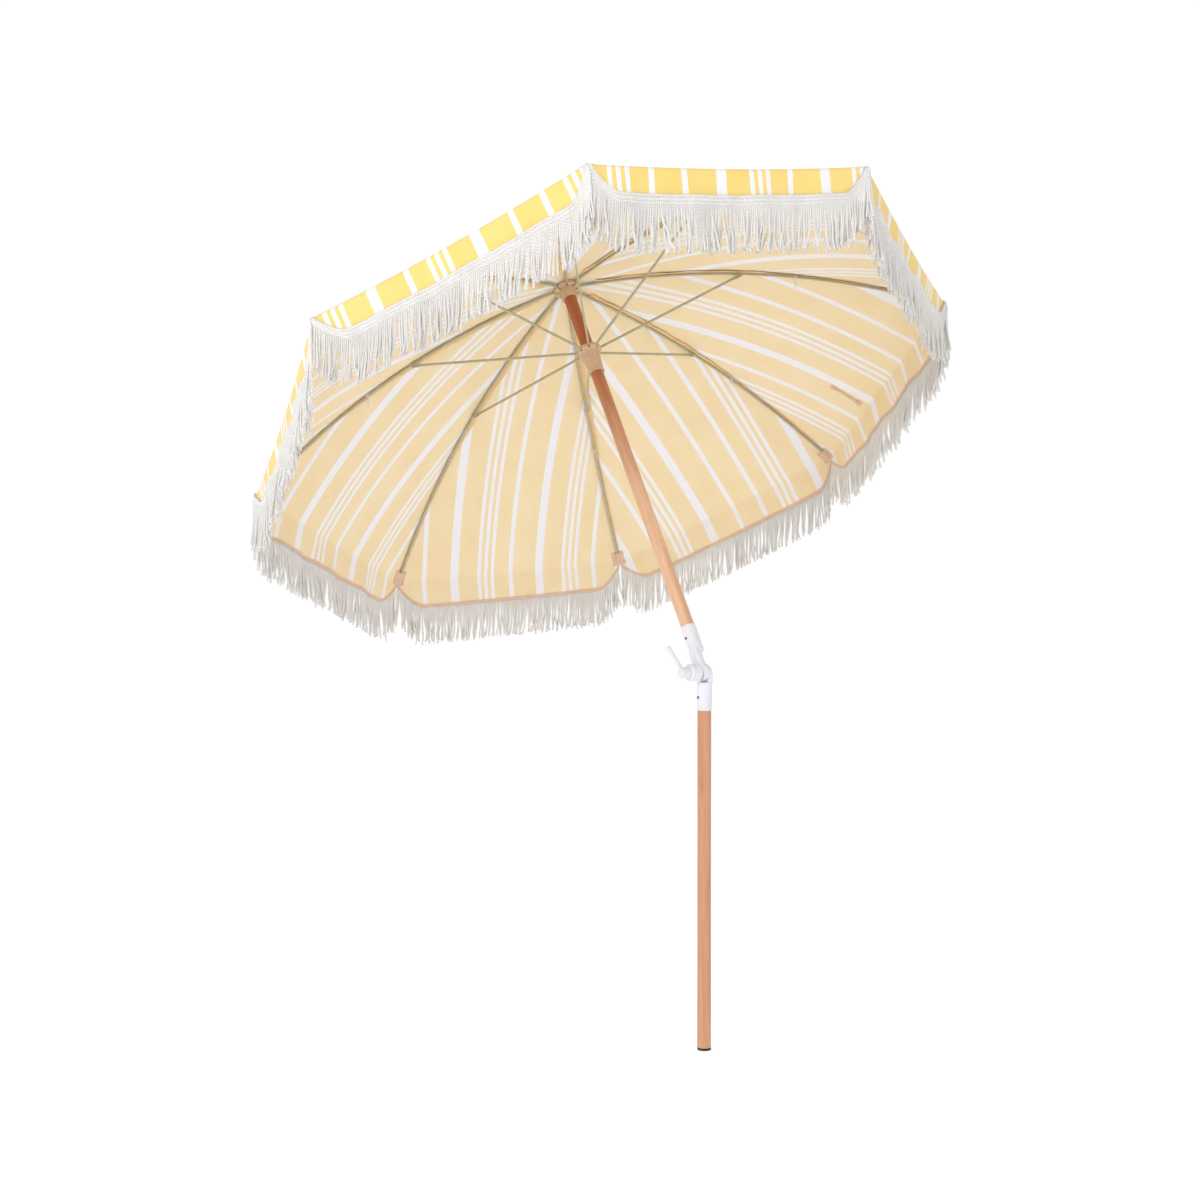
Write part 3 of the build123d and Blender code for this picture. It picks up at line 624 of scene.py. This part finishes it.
def rib_tie(i):
    """A narrow tie sewn to the seam and wound round the rib three times, its two ends hanging below it."""
    verts, faces = [], []
    around, turns, width = 14, 3, 0.0042

    def tube(path, radius, sides=8):
        start = len(verts)
        for k, p in enumerate(path):
            before, after = path[max(k - 1, 0)], path[min(k + 1, len(path) - 1)]
            t = unit(after - before)
            a = unit(np.cross(t, pole + 0.3 * outward[i]))
            b = np.cross(t, a)
            for m in range(sides):
                angle = 2 * math.pi * m / sides
                verts.append(p + radius * (a * math.cos(angle) + b * math.sin(angle)))
        for k in range(len(path) - 1):
            for m in range(sides):
                n = (m + 1) % sides
                faces.append([start + k * sides + m, start + k * sides + n,
                              start + (k + 1) * sides + n, start + (k + 1) * sides + m])
        faces.append([start + m for m in range(sides)][::-1])
        faces.append([start + (len(path) - 1) * sides + m for m in range(sides)])

    centre, ahead, up = rib_frame(i, TIE_R)
    loop = []
    for k in range(around * turns + 1):
        angle = 2 * math.pi * k / around
        side = across_rib[i] * math.cos(angle) * (RIB_HALF_W + 0.0014)
        rise = up * math.sin(angle) * (RIB_HALF_H + 0.0013)
        loop.append(centre + side + rise + ahead * width * (k / (around * turns) - 0.5) * 2)
    tube(loop, 0.0011)
    for lean in (-1, 1):
        root = centre - up * (RIB_HALF_H + 0.002) + across_rib[i] * 0.001 * lean
        tail = [root + (PLUMB * 0.02 + across_rib[i] * 0.006 * lean) * t + up * 0.004 * t * (1 - t)
                for t in np.linspace(0, 1, 7)]
        tube(tail, 0.0011)
    return piece(f"rib_tie_{i}", verts, faces, [tie_cloth], f"rib_{i}")


def near_tip(i, u, v):
    """A point of the cloth's inner side across the tip: v metres past the rib's end, u metres to one side."""
    side = 1 if u > 0 else -1
    share = abs(u) / HEM
    if v <= 0:
        r = TIP_R + v
        return gore_point(i, side, share * TIP_R / r, r) - rib_frame(i, r)[2] * 0.002
    return flap_point(i, side, share, v) + plane_of(i, side)[2] * -0.002


def tip_pocket(i):
    """The sewn pocket that the rib's end sits in: flat at its stitched sides and raised over the rib."""
    rows = []
    for v in np.linspace(-POCKET_IN, HEADER - 0.001, 13):
        up = rib_frame(i, TIP_R)[2]
        row = []
        for u in np.linspace(-1, 1, 17):
            raised = math.cos(min(abs(u) * 1.6, 1) * math.pi / 2) ** 1.2
            mouth = 1.0 if v <= 0 else 1 - v / HEADER
            row.append(near_tip(i, u * POCKET_W / 2, v) - up * (POCKET_RISE * raised * mouth))
        rows.append(row)
    return cloth_piece(f"tip_pocket_{i}", np.array(rows), 0.0012, [tape, tape], f"rib_{i}")


def stitches(i):
    """A row of stitches along each long edge of the pocket."""
    verts, faces = [], []
    wedge = ((-1, -1, 0), (-1, 1, 0), (1, 1, 0), (1, -1, 0), (-0.5, 0, 1), (0.5, 0, 1))
    off_middle = 0.88 * POCKET_W / 2
    for side in (-1, 1):
        for v in np.linspace(0.002 - POCKET_IN, HEADER - 0.004, 9):
            middle = near_tip(i, side * off_middle, v)
            after = near_tip(i, side * off_middle, v + 0.001)
            ahead = unit(after - middle)
            up = unit(np.cross(ahead, across_rib[i]))
            up = up if up @ pole > 0 else -up
            start = len(verts)
            for along, wide, high in wedge:
                at = middle - up * (0.0013 + high * 0.0005)
                verts.append(at + ahead * along * 0.0013 + across_rib[i] * wide * 0.0004)
            for f in ((0, 1, 2, 3), (0, 4, 1), (2, 5, 3), (1, 4, 5, 2), (3, 5, 4, 0)):
                faces.append([start + v for v in f])
    return piece(f"pocket_stitches_{i}", verts, faces, [tie_cloth], f"rib_{i}")


# ---- valance: a flap folded down from each gore's edge, bound with tape, and its fringe ----
HEM = TIP_R * math.sin(HALF_STEP)


def hem_depth(run):
    """Depth of the flap's lower edge at this distance from the rib's tip, along the fold."""
    x = min(run / CORNER, 1.0)
    return HEADER + FLAP * (1 - (1 - x) ** 1.7)


def plane_of(i, side):
    """The way along the hem from rib i, the way down the flap, and the way out through it."""
    along = unit(outward[next_rib(i, side)] - outward[i])
    down = unit(PLUMB - along * (PLUMB @ along))
    return along, down, np.cross(down, along) * side


def flap_point(i, side, u, v):
    """A point of the flap, v metres below the fold."""
    along, down, away = plane_of(i, side)
    at = gore_point(i, side, u, TIP_R)
    out = unit(at - gore_point(i, side, u, TIP_R - 0.01))
    steps = 6
    for k in range(steps):
        turn = min(v * (k + 0.5) / steps / FOLD_ARC, 1.0)
        turn = turn * turn * (3 - 2 * turn)
        at = at + unit(out * (1 - turn) + down * turn) * (v / steps)
    x = side * (1 - u) * HEM
    gore = gore_of(i, side)
    swing = 0.0045 * math.sin(x * 37 + gore * 1.7) + 0.002 * math.sin(x * 83 + gore)
    return at + away * swing * min(v / (FLAP + HEADER), 1.0) ** 1.5


SHARES = [0.0, 0.02, 0.045, 0.075, 0.11, 0.15, 0.2] + list(np.linspace(0.2, 1, 17)[1:])


def valance_flap(i, side):
    rows = 14
    falls = np.linspace(0, 1, rows) ** 1.5
    grid = np.array([[flap_point(i, side, u, hem_depth(u * HEM) * fall) for u in SHARES] for fall in falls])
    coords = np.zeros((rows, len(SHARES), 2))
    for k in range(rows):
        for m, u in enumerate(SHARES):
            coords[k, m] = cut_place(i, side, u, TIP_R)
            coords[k, m, 1] += hem_depth(u * HEM) * falls[k]
    along = plane_of(i, side)[0]

    def fix(normal):
        normal[:, 0] = [mitred(n, across_rib[i]) for n in normal[:, 0]]
        normal[:, -1] = [mitred(n, along) for n in normal[:, -1]]
        normal[0] = [fold_normal(i, side, u) for u in SHARES]

    letter = "a" if side < 0 else "b"
    name = f"valance_flap_{i}{letter}"
    both = (coords, coords)
    return cloth_piece(name, grid, CLOTH_T, [outside, inside], f"valance_{i}", both, 0, side > 0, fix)


def along_edge(i, side, step):
    """Shares of the gore's half width, evenly spaced along the flap's lower edge."""
    fine = np.linspace(0.0, 1.0, 120)
    line = np.array([flap_point(i, side, u, hem_depth(u * HEM)) for u in fine])
    run = np.concatenate(([0], np.cumsum(np.linalg.norm(np.diff(line, axis=0), axis=1))))
    count = round(run[-1] / step)
    return np.interp((np.arange(count) + 0.5) * run[-1] / count, run, fine)


def with_ends(shares):
    return np.concatenate(([0.0], shares, [1.0]))


def edge_band(name, i, side, top, bottom, lift, thickness, material, step=0.006):
    """A band sewn along the flap's lower edge, from top to bottom metres over it, lift outside the cloth."""
    away = plane_of(i, side)[2]
    rows = []
    for over in np.linspace(top, bottom, 5):
        row = []
        for u in with_ends(along_edge(i, side, step)):
            row.append(flap_point(i, side, u, max(hem_depth(u * HEM) - over, 0.0)) + away * lift)
        rows.append(row)
    letter = "a" if side < 0 else "b"
    name = f"{name}_{i}{letter}"
    return cloth_piece(name, np.array(rows), thickness, [material, material], f"valance_{i}", flip=side > 0)


def fringe(i, side):
    """Twisted cotton cords, each caught in the heading at its top and hanging free below it."""
    letter = "a" if side < 0 else "b"
    chance = random.Random(100 * i + side)
    along, down, away = plane_of(i, side)
    verts, faces, groove_shade = [], [], []
    sides, spacing = 6, 0.0042
    lie = 0.0
    for u in along_edge(i, side, CORD_PITCH):
        hem_at = hem_depth(u * HEM)
        heading = [flap_point(i, side, u, hem_at - HEADER * (1 - k / 3)) for k in range(4)]
        length = FRINGE * chance.uniform(0.94, 1.04)
        phase = chance.uniform(0, math.pi)
        lie = 0.8 * lie + chance.gauss(0, 0.02)
        sway = along * (lie + chance.gauss(0, 0.024)) + away * chance.gauss(0.01, 0.05)
        curl = along * chance.gauss(0, 0.12) + away * chance.gauss(0, 0.1)
        wave = chance.uniform(0.0006, 0.0026)
        beat = chance.uniform(60, 120)
        wide = chance.uniform(0.0030, 0.0034)
        count = int(length / spacing)
        start = len(verts)
        for m in range(count + 1):
            v = length * m / count
            free = max(v - HEADER, 0.0)
            share = free / (length - HEADER)
            held = min(v / HEADER, 1.0) * 3
            low = min(int(held), 2)
            root = heading[low] * (1 - held + low) + heading[low + 1] * (held - low)
            centre = root + PLUMB * free + away * 0.0030 + sway * free + curl * share * share * 0.06
            centre = centre + along * wave * math.sin(free * beat + phase) * share
            turn = phase + v * 2 * math.pi / CORD_TWIST
            full = 1.0 if m < count else 0.7
            for k in range(sides):
                angle = 2 * math.pi * k / sides
                x, y = math.cos(angle) * wide * full, math.sin(angle) * 0.0021 * full
                lx = x * math.cos(turn) - y * math.sin(turn)
                ly = x * math.sin(turn) + y * math.cos(turn)
                verts.append(centre + along * lx + away * ly)
                # How far round the cord each point lies, for the painted shade in its groove.
                groove_shade.append(abs(math.sin(angle)))
        for m in range(count):
            for k in range(sides):
                n = (k + 1) % sides
                a, b = start + m * sides, start + (m + 1) * sides
                faces.append([a + k, a + n, b + n, b + k])
        faces.append([start + k for k in range(sides)][::-1])
        faces.append([start + count * sides + k for k in range(sides)])
    # Chained rows across the heading catch every cord.
    shares = with_ends(along_edge(i, side, CORD_PITCH / 2))
    for over in CHAIN_ROWS:
        start = len(verts)
        for k, u in enumerate(shares):
            bead = 0.0007 * (1 if k % 2 else -1)
            on_flap = flap_point(i, side, u, max(hem_depth(u * HEM) - over, 0.0))
            centre = on_flap + down * bead + away * 0.0044
            for m in range(sides):
                angle = 2 * math.pi * m / sides
                verts.append(centre + down * math.cos(angle) * 0.0013 + away * math.sin(angle) * 0.0015)
        for k in range(len(shares) - 1):
            for m in range(sides):
                n = (m + 1) % sides
                a, b = start + k * sides, start + (k + 1) * sides
                faces.append([a + m, a + n, b + n, b + m])
        faces.append([start + m for m in range(sides)][::-1])
        faces.append([start + (len(shares) - 1) * sides + m for m in range(sides)])
    obj = piece(f"fringe_{i}{letter}", verts, faces, [fringe_cotton], f"valance_{i}")
    groove_shade += [0.0] * (len(verts) - len(groove_shade))
    obj.data.attributes.new("groove_shade", "FLOAT", "POINT").data.foreach_set("value", groove_shade)
    return obj


along_rib = {i: [seam_flap(i), rib_tie(i), tip_pocket(i), stitches(i)] for i in RIBS}

flaps, fringes, tapes, headings = {}, {}, {}, {}
for i in RIBS:
    for side in (-1, 1):
        flaps[i, side] = valance_flap(i, side)
        tapes[i, side] = edge_band(
            "hem_tape", i, side, top=0.0075, bottom=-0.001, lift=-0.0010, thickness=0.0012, material=tape
        )
        headings[i, side] = edge_band(
            "fringe_heading", i, side, top=HEADER, bottom=-0.001, lift=0.0030, thickness=0.0016,
            material=fringe_cotton
        )
        fringes[i, side] = fringe(i, side)
    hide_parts(f"valance_{i}")

# ---- crown patch and closing strap ----
PATCH_INNER_R, PATCH_R = 0.0105, 0.0465
PATCH_CUT = 0.205  # the repeat's place at the patch's middle


def crown_patch():
    """The round patch sewn over the gores' points, on the outside."""
    around, radii = 72, np.linspace(PATCH_INNER_R, PATCH_R, 14)
    grid = []
    for r in radii:
        row = []
        for k in range(around + 1):
            angle = 2 * math.pi * k / around
            way = outward[1] * math.cos(angle) + across_rib[1] * math.sin(angle)
            ripple = 0.0005 * math.sin(len(RIBS) * angle) * (r / PATCH_R) ** 2
            row.append(hub + way * r + pole * (cloth_height(max(r, CLOTH_INNER_R)) + 0.0016 + ripple))
        grid.append(row)
    coords = np.zeros((len(radii), around + 1, 2))
    for m, r in enumerate(radii):
        for k in range(around + 1):
            angle = 2 * math.pi * k / around
            coords[m, k] = (PATCH_CUT + r * math.cos(angle), r * math.sin(angle))
    grid = np.array(grid)
    up = grid_normals(grid)[5, 5] @ pole > 0
    both = (coords, coords)
    obj = cloth_piece("crown_patch_cloth", grid, CLOTH_T, [outside, inside], "upper_pole", both, 0, not up)
    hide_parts("canopy_crown_patch")
    return obj


def strap(name, i, side, u, r_from, r_to, width, thickness, lift):
    """A tape lying against the inner side of a gore."""
    rows = []
    for r in np.linspace(r_from, r_to, 9):
        row = []
        for share in np.linspace(-0.5, 0.5, 4):
            at = u + share * width / (r * math.sin(HALF_STEP))
            below = gore_point(i, side, at, r)
            slope = float(rib_slope(r))
            middle_out = unit(outward[i] + outward[next_rib(i, side)])
            normal = pole * math.cos(slope) + middle_out * math.sin(slope)
            row.append(below - normal * (CLOTH_T + lift))
        rows.append(row)
    obj = cloth_piece(name, np.array(rows), thickness, [tape, tape], f"rib_{i}")
    return obj


patch = crown_patch()
STRAP_AT = (1, -1, 0.71)  # its rib, the side of that rib, and the share of the way to the gore's middle
straps = [strap("closing_strap", *STRAP_AT, TIP_R - 0.085, TIP_R - 0.010, 0.008, 0.0012, 0.0014)]
straps.append(strap("strap_anchor", *STRAP_AT, TIP_R - 0.024, TIP_R - 0.008, 0.016, 0.0010, 0.0004))
straps.append(strap("strap_end", *STRAP_AT, TIP_R - 0.092, TIP_R - 0.078, 0.014, 0.0010, 0.0004))

# ---- each cloth piece gets its own copy of its mesh data ----
for i in RIBS:
    for obj in [panels[i]] + along_rib[i][2:] + (straps if i == 1 else []):
        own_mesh(obj)
    for side in (-1, 1):
        for obj in (flaps[i, side], tapes[i, side], headings[i, side], fringes[i, side]):
            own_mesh(obj)
